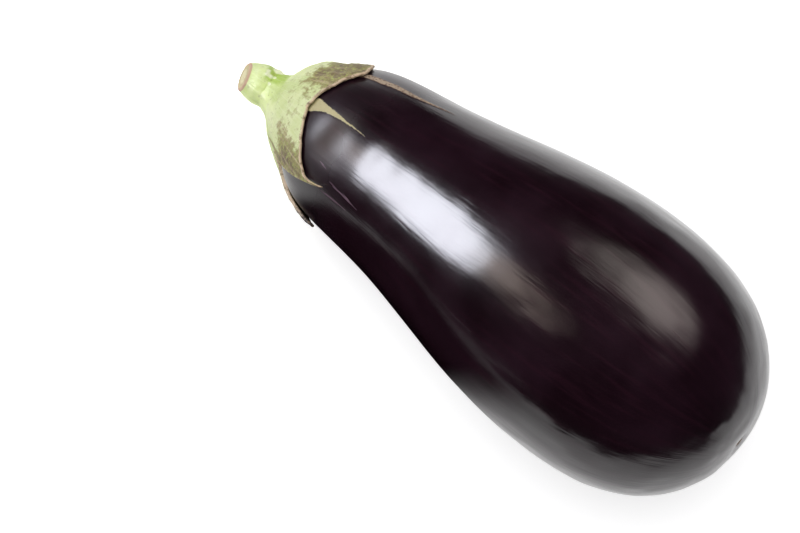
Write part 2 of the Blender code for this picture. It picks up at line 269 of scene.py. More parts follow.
def grain(points, size, seed):
    """Smooth random heights from -1 to 1 at points in mm; size is about the width of one swell."""
    cells = np.random.default_rng(seed).uniform(-1, 1, (GRAIN_CELLS,) * 3)
    low = np.floor(points / size).astype(int)
    part = points / size - low
    part = part ** 3 * (part * (6 * part - 15) + 10)
    height = 0
    for corner in product((0, 1), repeat=3):
        share = np.prod(np.where(corner, part, 1 - part), axis=-1)
        height = height + share * cells[tuple(np.moveaxis((low + corner) % GRAIN_CELLS, -1, 0))]
    return height


def layered(points, layers):
    """Grains of several widths, heights and squeezes added up."""
    return sum(height * grain(points * (1, 1, squeeze), width, seed)
               for width, height, squeeze, seed in layers)


def smooth(value, low, high):
    """0 below low, 1 above high and an even ease between them."""
    share = np.clip((value - low) / (high - low), 0, 1)
    return share * share * (3 - 2 * share)


def swells(distance, radius, angle):
    """The broad, shallow unevenness of the skin, which makes its reflections wander."""
    points = np.concatenate([turned(angle, radius), distance[..., None]], axis=-1)
    unevenness = bpy.context.scene.eggplant_fruit.unevenness / MM
    fine = layered(points, FINE_SWELLS) * (1 + BELLY_GAIN * smooth(distance, BELLY_FROM, BELLY_FULL))
    across = apart(angle, WAIST_SIDE) / WAIST_SPREAD
    waist = WAIST_DEPTH * np.exp(-((distance - WAIST_AT) / WAIST_LENGTH) ** 2 - across ** 2)
    return unevenness * (layered(points, SWELLS) + fine) - waist


def lie_down():
    """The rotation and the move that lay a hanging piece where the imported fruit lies."""
    turn = radians(90 + LYING_TILT)
    rotation = np.array([[cos(turn), 0, -sin(turn)], [0, 1, 0], [sin(turn), 0, cos(turn)]])
    angles = np.linspace(-180, 180, 361)[None, :]
    body = grown(SKIN[:, :1], SKIN[:, 1:], angles).reshape(-1, 3) @ rotation.T
    low, high = (np.array(corner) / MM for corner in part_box("fruit"))
    centre = (low[1] + high[1] - body[:, 1].min() - body[:, 1].max()) / 2
    return rotation, np.array([high[0] - body[:, 0].max(), centre, -PRESSED - body[:, 2].min()])


LYING_TURN, LYING_PLACE = lie_down()


def set_down(points):
    """Hanging points in mm as lying points in metres, with nothing below the floor."""
    laid = points @ LYING_TURN.T + LYING_PLACE
    laid[:, 2] = np.maximum(laid[:, 2], 0)
    return laid * MM


def on_skin(distance, angle):
    """The place in metres of a point on the lying fruit's skin."""
    radius = np.interp(distance, *SKIN.T)
    return set_down(grown(np.array([float(distance)]), radius, np.array([float(angle)])))[0]


def turned_ball(rings, segments):
    """A ball turned from a half circle, with its poles on Z and its rings evenly spaced from pole to pole."""
    turns = [pi * ring / rings for ring in range(rings + 1)]
    line = bpy.data.meshes.new("half_circle")
    line.from_pydata([(sin(t), 0, cos(t)) for t in turns], [(i, i + 1) for i in range(rings)], [])
    maker = bpy.data.objects.new("half_circle", line)
    bpy.context.scene.collection.objects.link(maker)
    screw = maker.modifiers.new("turn", "SCREW")
    screw.steps = segments
    screw.render_steps = segments
    screw.use_merge_vertices = True
    screw.merge_threshold = 0.00001
    ball = bpy.data.meshes.new_from_object(maker.evaluated_get(bpy.context.evaluated_depsgraph_get()))
    bpy.data.objects.remove(maker)
    made = bpy.data.objects.new("ball", ball)
    bpy.context.scene.collection.objects.link(made)
    return made


def vertices_of(mesh):
    """A mesh's vertices as an array."""
    points = np.empty(len(mesh.vertices) * 3)
    mesh.vertices.foreach_get("co", points)
    return points.reshape(-1, 3)


def note(mesh, name, values):
    """Keeps a number or a vector for each vertex, which the material reads by this name."""
    vector = values.ndim == 2
    held = mesh.attributes.new(name, "FLOAT_VECTOR" if vector else "FLOAT", "POINT")
    held.data.foreach_set("vector" if vector else "value", values.astype(np.float32).ravel())


def finish_piece(piece, name, packed, points, look):
    """Lays the piece down, names it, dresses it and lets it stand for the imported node."""
    mesh = piece.data
    mesh.vertices.foreach_set("co", set_down(points).ravel())
    piece.name = name
    mesh.name = name
    mesh.materials.clear()
    mesh.materials.append(look)
    mesh.shade_smooth()
    mesh.update()
    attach(piece, "root")
    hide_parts(packed)


# ---- fruit ----------------------------------------------------------------------------------------------

def beside_mark(distance, radius, angle, line):
    """How far points are off a mark's middle line, the mark's half width there, and the distance."""
    at, direction, half = np.array(line, float).T
    off = radius * np.radians(angle - np.interp(distance, at, direction))
    width = np.interp(distance, at, half, left=NO_MARK, right=NO_MARK)
    return np.stack([off, width, distance], axis=-1)


def inside_mark(beside, soft):
    """1 well inside a mark and 0 outside it, easing over a soft edge in mm."""
    return smooth(beside[:, 1] - np.abs(beside[:, 0]), -soft / 2, soft / 2)


def fruit_shape(ball, rings):
    """The fruit's points from a ball's, and the marks on them."""
    angle = np.degrees(np.arctan2(ball[:, 1], ball[:, 0]))
    level = np.rint(np.arccos(np.clip(ball[:, 2], -1, 1)) / pi * rings) / rings
    distance, radius, along, outward = skin_at(level * SKIN_REACH[-1])
    marks = {"husk_scar": beside_mark(distance, radius, angle, HUSK_SCAR),
             "cork_streak": beside_mark(distance, radius, angle, CORK_STREAK)}
    for number, line in enumerate(SCRATCHES):
        marks[f"scratch_{number}"] = beside_mark(distance, radius, angle, line)
    height = swells(distance, radius, angle)
    height = height + CORK_PROUD * inside_mark(marks["cork_streak"], MARK_EDGE)
    height = height - SCAR_SUNK * inside_mark(marks["husk_scar"], MARK_EDGE)
    settings = bpy.context.scene.eggplant_fruit
    from_tip = radius + np.where(distance < LENGTH / 2, LENGTH, 0)
    height = height - settings.blossom_dimple / MM * np.exp(-(from_tip / (settings.blossom_scar / MM)) ** 2)
    return grown(distance + along * height, radius + outward * height, angle), marks


# ---- calyx and stem -------------------------------------------------------------------------------------

def rim_table():
    """The rim's reach, lift, swing and dryness at every step round it, with its corners rounded."""
    rows = np.array(RIM, float)
    at = np.arange(0, 360, RIM_STEP)
    wide = round(5 * RIM_SOFTNESS / RIM_STEP)
    weights = np.exp(-(np.arange(-wide, wide + 1) * RIM_STEP / RIM_SOFTNESS) ** 2 / 2)
    weights /= weights.sum()
    columns = []
    for column in rows.T[1:]:
        sharp = np.interp(at, rows[:, 0], column, period=360)
        padded = np.concatenate([sharp[-wide:], sharp, sharp[:wide]])
        columns.append(np.convolve(padded, weights, "valid"))
    return at, columns


RIM_AT, RIM_COLUMNS = rim_table()


def rim_at(angle):
    """The rim's reach, lift, swing and dryness at an angle, with the ragged edge of a dried leaf."""
    reach, lift, swing, dry = (np.interp(angle, RIM_AT, column, period=360) for column in RIM_COLUMNS)
    circle = np.concatenate([turned(angle, RIM_RADIUS), np.zeros(angle.shape + (1,))], axis=-1)
    reach = reach + (RAGGED_GREEN + (1 - RAGGED_GREEN) * dry) * layered(circle, RAGGED)
    lift = lift + dry * CURL * (1 + grain(circle, CURL_WIDTH, CURL_SEED))
    return reach, lift, swing, dry


def spread_angles(angle):
    """Moves evenly spaced angles closer together where the rim runs steeply out along a lobe."""
    at = np.arange(-180, 180 + RIM_STEP / 2, RIM_STEP)
    reach = np.interp(at, RIM_AT, RIM_COLUMNS[0], period=360)
    run = np.hypot(np.gradient(reach), radians(RIM_STEP) * SPREAD_RADIUS)
    passed = np.concatenate([[0], np.cumsum((run[1:] + run[:-1]) / 2)])
    return np.interp((angle + 180) / 360 * passed[-1], passed, at)


def husk_thickness(reach, out):
    """How thick the calyx is; out is 0 at the stem and 1 at the rim."""
    flesh = FLESH_THICK / (1 + (reach / FLESH_REACH) ** 5) * (1 - EDGE_THINNING * out ** 3)
    foot = sum(height * np.exp((SEAM_REACH - reach) / width) for height, width in FOOT)
    return LEAF_THICK + flesh + foot


def stem_middle(height):
    """How far the stem's middle is off the axis at a height above the crown, and how it leans there."""
    share = np.clip((height - SEAM_HEIGHT) / (STEM_HEIGHT - SEAM_HEIGHT), 0, 1)
    bend = turned(STEM_BEND_AT)
    off = turned(COLLAR_SHIFT_AT, COLLAR_SHIFT) + STEM_BEND * share[..., None] ** STEM_BEND_POWER * bend
    steep = STEM_BEND * STEM_BEND_POWER / (STEM_HEIGHT - SEAM_HEIGHT)
    return off, steep * share[..., None] ** (STEM_BEND_POWER - 1) * bend


def calyx_base(angle, out, level):
    """Points of the calyx without its relief; out is 0 at the stem and 1 at the rim, and level is 0 on the
    underside and 1 on the outside."""
    rim, lift, swing, _ = rim_at(angle)
    reach = SEAM_REACH + (rim - SEAM_REACH) * out
    thick = husk_thickness(reach, out)
    from_rim = (rim - SEAM_REACH) * (1 - out)
    edge = np.sqrt(np.clip(1 - (1 - np.clip(from_rim / (0.5 * thick), 0, 1)) ** 2, 0, 1))
    height = GAP + lift * out ** 3 + thick * (0.5 + (level - 0.5) * edge)
    distance, radius, along, outward = skin_at(reach)
    turned_angle = angle + swing * out ** 3
    height = height + swells(distance, radius, turned_angle) * smooth(reach, SWELL_FROM, SWELL_FULL)
    upright = np.clip(1 - (reach - SEAM_REACH) / UPRIGHT_REACH, 0, 1)
    along = along * (1 - upright) - upright
    outward = outward * (1 - upright)
    size = np.hypot(along, outward)
    points = grown(distance + along / size * height, radius + outward / size * height, turned_angle)
    shifted = 1 - smooth(reach, SEAM_REACH, SHIFT_REACH)
    points[..., :2] += turned(COLLAR_SHIFT_AT, COLLAR_SHIFT) * shifted[..., None]
    return points


SEAM_DISTANCE, SEAM_RADIUS, _, _ = skin_at(SEAM_REACH)
SEAM_HEIGHT = GAP + husk_thickness(SEAM_REACH, 0) - SEAM_DISTANCE


def husk_relief(points, angle, down):
    """How far the calyx and the stem stand proud: ribs, lumps and fibres; down is the way from the seam."""
    away = apart(angle[..., None], np.array(RIBS))
    ribs = np.exp(-(away / RIB_WIDTH) ** 2).sum(axis=-1) - RIB_HOLLOW
    lengthwise = np.concatenate([turned(angle, FIBRE_CIRCLE), down[..., None] / FIBRE_STRETCH], axis=-1)
    ribs = ribs * np.interp(down, *np.transpose(RIB_RISE))
    return ribs + layered(points, LUMPS) + layered(lengthwise, FIBRES)


def calyx_shape(ring, sections):
    """The calyx's points from a torus's, and what its material needs to know of them."""
    angle = spread_angles(np.degrees(np.arctan2(ring[:, 1], ring[:, 0])))
    turn = np.arctan2(ring[:, 2], np.hypot(ring[:, 0], ring[:, 1]) - 1.0) / (2 * pi) % 1
    turn = np.rint(turn * sections) / sections % 1
    outer = turn < OUTER_SHARE
    share = np.where(outer, turn / OUTER_SHARE, (1 - turn) / (1 - OUTER_SHARE))
    out = (1 + np.cos(pi * share)) / 2
    level = outer.astype(float)
    points = calyx_base(angle, out, level)
    step_angle, step_out = 0.2, 0.004
    round_way = calyx_base(angle + step_angle, out, level) - calyx_base(angle - step_angle, out, level)
    inward, outward = np.clip(out - step_out, 0, 1), np.clip(out + step_out, 0, 1)
    down_way = calyx_base(angle, outward, level) - calyx_base(angle, inward, level)
    normal = np.cross(down_way, round_way)
    normal /= np.linalg.norm(normal, axis=1)[:, None] + 1e-12
    rim, _, _, dry = rim_at(angle)
    down = (rim - SEAM_REACH) * out
    from_rim = rim - SEAM_REACH - down
    hump = (apart(angle, HUMP_AT) / HUMP_SPREAD) ** 2 + ((down + SEAM_REACH - HUMP_REACH) / HUMP_LENGTH) ** 2
    dryness = dry * smooth(out, DRY_FROM, DRY_FULL)
    relief = husk_relief(points, angle, down) + HUMP_HEIGHT * np.exp(-hump)
    relief = (relief + dryness * layered(points, WRINKLES)) * smooth(from_rim, 0, SMOOTH_RIM) * level
    bed = blister_bed(angle, SEAM_HEIGHT - down)
    return points + normal * relief[:, None], {"down": down, "dryness": dryness, "from_rim": from_rim,
                                               "relief": relief, "bed": bed, "swollen": 0 * down}


def blisters(angle, height):
    """The long shiny blisters on one side of the stem and a few small stray ones round it."""
    draws = np.random.default_rng(BLISTER_SEED)
    total = 0
    for number in range(STRAY_BLISTERS + CLOSE_BLISTERS):
        if number < STRAY_BLISTERS:
            at, up = draws.uniform(-180, 180), draws.uniform(SEAM_HEIGHT - 1, STEM_HEIGHT - 2)
            wide, tall = draws.uniform(0.4, 0.7), draws.uniform(0.06, 0.16)
        else:
            at, up = draws.normal(BED_AT, 0.5 * BED_SPREAD), draws.normal(BED_HEIGHT, 0.6 * BED_LENGTH)
            wide, tall = draws.uniform(0.6, 0.95), draws.uniform(0.3, 0.6)
        off = np.radians(apart(angle, at)) * SEAM_RADIUS
        total = total + tall * np.exp(-((off / wide) ** 2 + ((height - up) / (BLISTER_STRETCH * wide)) ** 2))
    return total


def blister_bed(angle, height):
    """1 in the middle of the greener patch that the blisters grow in, and 0 away from it."""
    return np.exp(-(apart(angle, BED_AT) / BED_SPREAD) ** 4 - ((height - BED_HEIGHT) / BED_LENGTH) ** 4)


def stem_profile(rings):
    """The stem as (radius, height) from the middle of its cut face to the foot of the plug in the calyx."""
    counts = [round(rings * share) for share in STEM_RING_SHARES]
    counts.append(rings - sum(counts))
    inner, edge_foot = STEM_CUT_RADIUS - STEM_CUT_EDGE, STEM_HEIGHT - STEM_CUT_EDGE
    face = [(inner * i / counts[0], STEM_HEIGHT) for i in range(counts[0])]
    turns = [i / counts[1] * pi / 2 for i in range(counts[1])]
    edge = [(inner + STEM_CUT_EDGE * sin(turn), edge_foot + STEM_CUT_EDGE * cos(turn)) for turn in turns]
    side = []
    for i in range(counts[2]):
        share = i / counts[2]
        high = edge_foot + (SEAM_HEIGHT - edge_foot) * share
        flare = STEM_FLARE * np.exp((SEAM_HEIGHT - high) / STEM_FLARE_HEIGHT)
        straight = STEM_CUT_RADIUS + (SEAM_RADIUS - STEM_FLARE - STEM_CUT_RADIUS) * share
        side.append((straight + STEM_SWELL * sin(pi * share) + flare, high))
    sunk = [(SEAM_RADIUS + 0.05 * i - 0.012 * i * i, SEAM_HEIGHT - SUNK_STEP * i) for i in range(counts[3])]
    last = sunk[-1][1]
    plug = [(PLUG_RADIUS * (1 - i / counts[4]), last + (PLUG_FOOT - last) * min(1, 3 * i / counts[4]))
            for i in range(counts[4] + 1)]
    return np.array(face + edge + side + sunk + plug)


def stem_shape(ball, rings):
    """The stem's points from a ball's, and what its material needs to know of them."""
    angle = np.degrees(np.arctan2(ball[:, 1], ball[:, 0]))
    level = np.rint(np.arccos(np.clip(ball[:, 2], -1, 1)) / pi * rings).astype(int)
    radius, height = stem_profile(rings)[level].T
    down = SEAM_HEIGHT - height
    on_face = smooth(STEM_CUT_RADIUS - radius, 0, STEM_CUT_EDGE) * (height > STEM_HEIGHT - STEM_CUT_EDGE)
    flat = turned(angle, SEAM_RADIUS) + turned(COLLAR_SHIFT_AT, COLLAR_SHIFT)
    where = np.concatenate([flat, height[:, None]], axis=-1)
    swollen = blisters(angle, height)
    relief = (husk_relief(where, angle, down) + swollen) * (down <= SUNK_DEPTH)
    oval = OVAL * np.cos(2 * np.radians(angle - OVAL_AT)) + LOBED * np.cos(3 * np.radians(angle - LOBED_AT))
    side = turned(angle, radius * (1 + oval) + relief * (1 - on_face) * smooth(radius, 0, 3))
    # Each row is turned square to the bent middle line.
    off, lean = stem_middle(height)
    normal = np.concatenate([lean, np.ones((len(lean), 1))], axis=1)
    normal /= np.linalg.norm(normal, axis=1)[:, None]
    fall = (side * normal[:, :2]).sum(axis=1) / (1 + normal[:, 2])
    points = np.concatenate([off + side, height[:, None]], axis=1)
    points -= fall[:, None] * (normal + (0, 0, 1))
    dish = CUT_DISH * smooth(radius, 0, CUT_DISH_RADIUS) - CUT_DISH
    fibres = CUT_GRAIN * grain(where * (1, 1, 0), CUT_GRAIN_WIDTH, CUT_GRAIN_SEED)
    toward = (side @ turned(CUT_SLANT_AT)) * smooth(height, STEM_HEIGHT - CUT_SLANT_HEIGHT, STEM_HEIGHT)
    points += normal * ((dish + fibres) * on_face - CUT_SLANT * toward)[:, None]
    cut = np.where(height > STEM_HEIGHT - STEM_CUT_EDGE * 0.9, radius / STEM_CUT_RADIUS, 2.0)
    return points, {"down": down, "dryness": 0 * down, "from_rim": FAR_FROM_RIM + 0 * down, "relief": relief,
                    "cut": cut, "bed": blister_bed(angle, height), "swollen": swollen}


# ---- materials ------------------------------------------------------------------------------------------

def node(tree, kind, links=None, **settings):
    """Adds a shader node, sets its options, and sets or links its inputs."""
    made = tree.nodes.new("ShaderNode" + kind)
    for name, value in settings.items():
        setattr(made, name, value)
    for name, value in (links or {}).items():
        if isinstance(value, bpy.types.NodeSocket):
            tree.links.new(value, made.inputs[name])
        else:
            made.inputs[name].default_value = value
    return made


def new_look(name):
    """A new material with its tree and its Principled shader."""
    look = bpy.data.materials.new(name)
    look.use_nodes = True
    return look, look.node_tree, look.node_tree.nodes["Principled BSDF"]


def painted(tree, colour, covers):
    """A colour with others laid over it in turn, each where its cover is 1."""
    for cover, tint in covers:
        colour = node(tree, "Mix", {0: cover, 6: colour, 7: tint}, data_type="RGBA").outputs[2]
    return colour


def join_up(tree, shader, colour, rough, reliefs, strength):
    """Gives the shader its colour, roughness and fine relief, in layers of (pattern, height in mm)."""
    height = 0.0
    for pattern, tall in reliefs:
        height = node(tree, "Math", {0: pattern, 1: tall, 2: height}, operation="MULTIPLY_ADD").outputs[0]
    bump = node(tree, "Bump", {"Height": height, "Distance": MM, "Strength": strength}).outputs[0]
    for socket, value in (("Base Color", colour), ("Roughness", rough), ("Normal", bump)):
        tree.links.new(value, shader.inputs[socket])


def hanging_coordinates(tree):
    """Two places in mm for the patterns: as the fruit hangs, and the same wrapped to follow the meridians."""
    own = node(tree, "TexCoord").outputs["Object"]
    hung = node(tree, "Mapping", {"Vector": own, "Location": LYING_PLACE * MM, "Scale": (MM, MM, MM),
                                  "Rotation": (0, -radians(90 + LYING_TILT), 0)}, vector_type="TEXTURE")
    hung = hung.outputs[0]
    flat = node(tree, "VectorMath", {0: hung, 1: (1, 1, 0)}, operation="MULTIPLY").outputs[0]
    direction = node(tree, "VectorMath", {0: flat}, operation="NORMALIZE").outputs[0]
    lengthwise = node(tree, "VectorMath", {0: hung, 1: (0, 0, 1 / STREAK_STRETCH)},
                      operation="MULTIPLY").outputs[0]
    wrapped = node(tree, "VectorMath", {0: direction, 1: (WRAP_RADIUS, WRAP_RADIUS, 0), 2: lengthwise},
                   operation="MULTIPLY_ADD").outputs[0]
    return hung, wrapped


def mark_mask(tree, name, ragged, soft):
    """1 inside a mark that the mesh notes and 0 outside it, and how far inside it a place is in mm; ragged is
    added to the half width and soft is half the width of the edge."""
    parts = node(tree, "SeparateXYZ", {0: node(tree, "Attribute", attribute_name=name).outputs["Vector"]})
    off = node(tree, "Math", {0: parts.outputs["X"]}, operation="ABSOLUTE").outputs[0]
    inside = node(tree, "Math", {0: parts.outputs["Y"], 1: off}, operation="SUBTRACT").outputs[0]
    inside = node(tree, "Math", {0: inside, 1: ragged}, operation="ADD").outputs[0]
    return node(tree, "MapRange", {"Value": inside, "From Min": -soft, "From Max": soft},
                interpolation_type="SMOOTHSTEP").outputs[0], inside


def skin_look(settings):
    """Aubergine skin: a thin waxed rind, near-black purple under a clear gloss.  Fine fibres run along it
    and fray the edges of its reflections, the neck keeps some dull bloom, and where the calyx or a twig has
    rubbed it, it has healed as cork."""
    look, tree, shader = new_look("waxed_aubergine_skin")
    hung, wrapped = hanging_coordinates(tree)
    clouds = node(tree, "TexNoise", {"Vector": hung, "Scale": 1 / CLOUDS, "Detail": 3}).outputs[0]
    streaks = node(tree, "TexNoise", {"Vector": wrapped, "Scale": 1 / STREAKS, "Detail": 3}).outputs[0]
    hairlines = node(tree, "TexNoise", {"Vector": wrapped, "Scale": 1 / HAIRLINES, "Detail": 2}).outputs[0]
    pores = node(tree, "TexNoise", {"Vector": hung, "Scale": 1 / PORES, "Detail": 2}).outputs[0]
    warm = node(tree, "MapRange", {"Value": clouds, "From Min": 0.35, "From Max": 0.7}).outputs[0]
    faint = node(tree, "MapRange", {"Value": streaks, "From Min": 0.5, "From Max": 0.8,
                                    "To Max": 0.5}).outputs[0]
    wander = node(tree, "MapRange", {"Value": hairlines, "To Min": -0.35, "To Max": 0.35}).outputs[0]
    scratches = [mark_mask(tree, f"scratch_{number}", wander, 0.12)[0] for number in range(len(SCRATCHES))]
    scratches = [node(tree, "Math", {0: scratch, 1: 0.75}, operation="MULTIPLY").outputs[0]
                 for scratch in scratches]
    # The two scars: khaki where the calyx lay, and tan cork with brown specks and a brown border.
    wander = node(tree, "MapRange", {"Value": pores, "To Min": -0.5, "To Max": 0.5}).outputs[0]
    husk, _ = mark_mask(tree, "husk_scar", wander, 0.15)
    cork, inside = mark_mask(tree, "cork_streak", wander, 0.15)
    khaki = painted(tree, settings.husk_scar, [(pores, settings.husk_scar_pale)])
    specks = node(tree, "TexVoronoi", {"Vector": hung, "Scale": 1 / CORK_SPECKS}).outputs["Distance"]
    specks = node(tree, "MapRange", {"Value": specks, "From Min": 0.5, "From Max": 0.25}).outputs[0]
    border = node(tree, "MapRange", {"Value": inside, "From Min": 0.45, "From Max": 0.05}).outputs[0]
    tan = painted(tree, settings.cork, [(specks, settings.cork_dark), (border, settings.cork_dark)])
    tip, tip_place = blossom_mask(tree, hung, pores, settings)
    tip_tan = painted(tree, settings.cork_dark, [(tip_place, settings.cork)])
    scars = node(tree, "Math", {0: husk, 1: cork}, operation="MAXIMUM").outputs[0]
    scars = node(tree, "Math", {0: scars, 1: tip}, operation="MAXIMUM").outputs[0]
    colour = painted(tree, settings.skin, [
        (warm, settings.skin_warm), (faint, settings.streak),
        *((scratch, settings.scratch) for scratch in scratches), (husk, khaki), (cork, tan), (tip, tip_tan)])
    bloom = node(tree, "SeparateXYZ", {0: hung}).outputs["Z"]
    bloom = node(tree, "Math", {0: clouds, 1: 30.0, 2: bloom}, operation="MULTIPLY_ADD").outputs[0]
    bloom = node(tree, "MapRange", {"Value": bloom, "From Min": BLOOM_FROM, "From Max": BLOOM_FULL},
                 interpolation_type="SMOOTHSTEP").outputs[0]
    rough = node(tree, "MapRange", {"Value": clouds, "From Min": 0.3, "From Max": 0.7,
                                    "To Min": 0.14, "To Max": 0.2}).outputs[0]
    for cover, dull in ((bloom, 0.3), *((scratch, 0.5) for scratch in scratches), (scars, 0.85)):
        rough = node(tree, "Mix", {0: cover, 2: rough, 3: dull}).outputs[0]
    corky = node(tree, "Math", {0: scars, 1: pores}, operation="MULTIPLY").outputs[0]
    fine = settings.fibre_height / MM
    reliefs = [(hairlines, fine), (streaks, 1.5 * fine), (pores, 0.004), (corky, 0.12)]
    join_up(tree, shader, colour, rough, reliefs, strength=1.0)
    shader.inputs["IOR"].default_value = 1.45
    return look


def blossom_mask(tree, hung, pores, settings):
    """The small cork star where the flower fell off, and how far out in it a place is."""
    parts = node(tree, "SeparateXYZ", {0: hung})
    at_end = node(tree, "MapRange", {"Value": parts.outputs["Z"], "From Min": TIP_FROM,
                                     "From Max": TIP_FULL}).outputs[0]
    flat = node(tree, "VectorMath", {0: hung, 1: (1, 1, 0)}, operation="MULTIPLY").outputs[0]
    out = node(tree, "VectorMath", {0: flat}, operation="LENGTH").outputs["Value"]
    ragged = node(tree, "Math", {0: pores, 1: 2.4, 2: out}, operation="MULTIPLY_ADD").outputs[0]
    size = settings.blossom_scar / MM
    place = node(tree, "MapRange", {"Value": ragged, "From Min": 0.5 * size, "From Max": size}).outputs[0]
    mask = node(tree, "MapRange", {"Value": ragged, "From Min": size, "From Max": 0.85 * size}).outputs[0]
    return node(tree, "Math", {0: mask, 1: at_end}, operation="MULTIPLY").outputs[0], place


def husk_look(name, settings, cut_settings=None):
    """The fleshy green of the stem and calyx: pale and satin at the stem, duller and greyer down the lobes,
    and dried to olive and brown leather towards their tips, with a thin cream edge."""
    look, tree, shader = new_look(name)
    hung, wrapped = hanging_coordinates(tree)
    noted = {held: node(tree, "Attribute", attribute_name=held).outputs["Fac"]
             for held in ("down", "dryness", "from_rim", "relief", "bed", "swollen")}
    blotches = node(tree, "TexNoise", {"Vector": hung, "Scale": 1 / BLOTCHES, "Detail": 4,
                                       "Roughness": 0.6}).outputs[0]
    mottle = node(tree, "TexNoise", {"Vector": hung, "Scale": 1 / MOTTLE, "Detail": 5,
                                     "Roughness": 0.65}).outputs[0]
    specks = node(tree, "TexNoise", {"Vector": hung, "Scale": 1 / SPECKS, "Detail": 4,
                                     "Roughness": 0.7}).outputs[0]
    grit = node(tree, "TexNoise", {"Vector": hung, "Scale": 1 / GRIT, "Detail": 3}).outputs[0]
    long_grain = node(tree, "TexNoise", {"Vector": wrapped, "Scale": 1 / VEINS, "Detail": 3}).outputs[0]
    # The live green: duller down the lobes, paler in blotches, greener round the blisters; painted shade in the
    # hollows.
    lower = node(tree, "MapRange", {"Value": noted["down"], "From Min": -3, "From Max": 14},
                 interpolation_type="SMOOTHSTEP").outputs[0]
    pale = node(tree, "MapRange", {"Value": blotches, "From Min": 0.4, "From Max": 0.7,
                                   "To Max": 0.5}).outputs[0]
    # Painted shade: a darker, deeper green where the relief lies low, in the hollows between ribs and lumps.
    hollow_shade = node(tree, "MapRange", {"Value": noted["relief"], "From Min": 0.25, "From Max": -0.25,
                                     "To Max": 0.45}).outputs[0]
    bed = node(tree, "Math", {0: blotches, 1: noted["bed"]}, operation="ADD").outputs[0]
    bed = node(tree, "MapRange", {"Value": bed, "From Min": 0.8, "From Max": 1.3, "To Max": 0.9}).outputs[0]
    # Painted highlight: the blisters' tops are laid paler, partly their own pale green and partly their sheen.
    blister_pale_and_highlight = node(tree, "MapRange", {"Value": noted["swollen"], "From Min": 0.14, "From Max": 0.4}).outputs[0]
    # The dried leather: olive with green left in specks, then brown, then nearly black.
    wear = node(tree, "Math", {0: mottle, 1: blotches}, operation="ADD").outputs[0]
    wear = node(tree, "MapRange", {"Value": wear, "From Min": 0.8, "From Max": 1.2,
                                   "To Min": -0.3, "To Max": 0.3}).outputs[0]
    wear = node(tree, "Math", {0: wear, 1: noted["dryness"]}, operation="ADD").outputs[0]
    olive = node(tree, "MapRange", {"Value": wear, "From Min": 0.15, "From Max": 0.6},
                 interpolation_type="SMOOTHSTEP").outputs[0]
    spotted = node(tree, "Math", {0: specks, 1: 1.6, 2: wear}, operation="MULTIPLY_ADD").outputs[0]
    brown = node(tree, "MapRange", {"Value": spotted, "From Min": 1.4, "From Max": 2.1},
                 interpolation_type="SMOOTHSTEP").outputs[0]
    scorched = node(tree, "MapRange", {"Value": spotted, "From Min": 2.1, "From Max": 2.5}).outputs[0]
    regrown = node(tree, "MapRange", {"Value": specks, "From Min": 0.5, "From Max": 0.3,
                                      "To Max": 0.7}).outputs[0]
    dried = painted(tree, settings.olive, [(regrown, settings.deep_green_and_hollow_shade)])
    # Veins, small dark dots and the cream edge.
    veins = node(tree, "MapRange", {"Value": long_grain, "From Min": 0.52, "From Max": 0.75,
                                    "To Max": 0.4}).outputs[0]
    veined = painted(tree, settings.husk_pale, [(olive, settings.edge)])
    dots = node(tree, "TexVoronoi", {"Vector": hung, "Scale": 1 / DOTS}).outputs["Distance"]
    dots = node(tree, "MapRange", {"Value": dots, "From Min": 0.18, "From Max": 0.08,
                                   "To Max": 0.45}).outputs[0]
    border = node(tree, "Math", {0: mottle, 1: 1.6, 2: noted["from_rim"]},
                  operation="MULTIPLY_ADD").outputs[0]
    border = node(tree, "Math", {0: noted["dryness"], 1: -0.6, 2: border},
                  operation="MULTIPLY_ADD").outputs[0]
    edge = node(tree, "MapRange", {"Value": border, "From Min": 1.5, "From Max": 1.0,
                                   "To Max": 0.9}).outputs[0]
    rind = node(tree, "MapRange", {"Value": mottle, "From Min": 0.35, "From Max": 0.5}).outputs[0]
    rind = painted(tree, settings.edge_dark, [(rind, settings.edge)])
    colour = painted(tree, settings.stem_green, [
        (lower, settings.husk_green), (pale, settings.husk_pale), (hollow_shade, settings.deep_green_and_hollow_shade),
        (bed, settings.bed_green), (blister_pale_and_highlight, settings.husk_pale), (olive, dried), (brown, settings.brown),
        (veins, veined), (dots, settings.dot), (edge, rind), (scorched, settings.scorched)])
    rough = node(tree, "MapRange", {"Value": noted["down"], "From Min": -4, "From Max": 8,
                                    "To Min": 0.36, "To Max": 0.62}).outputs[0]
    rough = node(tree, "Mix", {0: blister_pale_and_highlight, 2: rough, 3: 0.22}).outputs[0]
    if cut_settings:
        colour, rough = cut_face(tree, colour, rough, grit, cut_settings)
    reliefs = [(grit, 0.12), (long_grain, 0.22), (specks, 0.25), (mottle, 0.3)]
    join_up(tree, shader, colour, rough, reliefs, strength=0.8)
    shader.inputs["IOR"].default_value = 1.42
    return look


def cut_face(tree, colour, rough, grit, settings):
    """The dried cut: a pinkish beige rim round pale pith with a darker ring of fibres."""
    cut = node(tree, "Attribute", attribute_name="cut").outputs["Fac"]
    wavy = node(tree, "Math", {0: grit, 1: 0.16, 2: cut}, operation="MULTIPLY_ADD").outputs[0]
    ring = node(tree, "MapRange", {"Value": wavy, "From Min": 0.5, "From Max": 0.68}).outputs[0]
    rim = node(tree, "MapRange", {"Value": wavy, "From Min": 0.82, "From Max": 0.98}).outputs[0]
    here = node(tree, "MapRange", {"Value": wavy, "From Min": 1.2, "From Max": 1.1}).outputs[0]
    face = painted(tree, settings.pith, [(ring, settings.ring), (rim, settings.bark)])
    return painted(tree, colour, [(here, face)]), node(tree, "Mix", {0: here, 2: rough, 3: 0.8}).outputs[0]


# ---- stage ----------------------------------------------------------------------------------------------

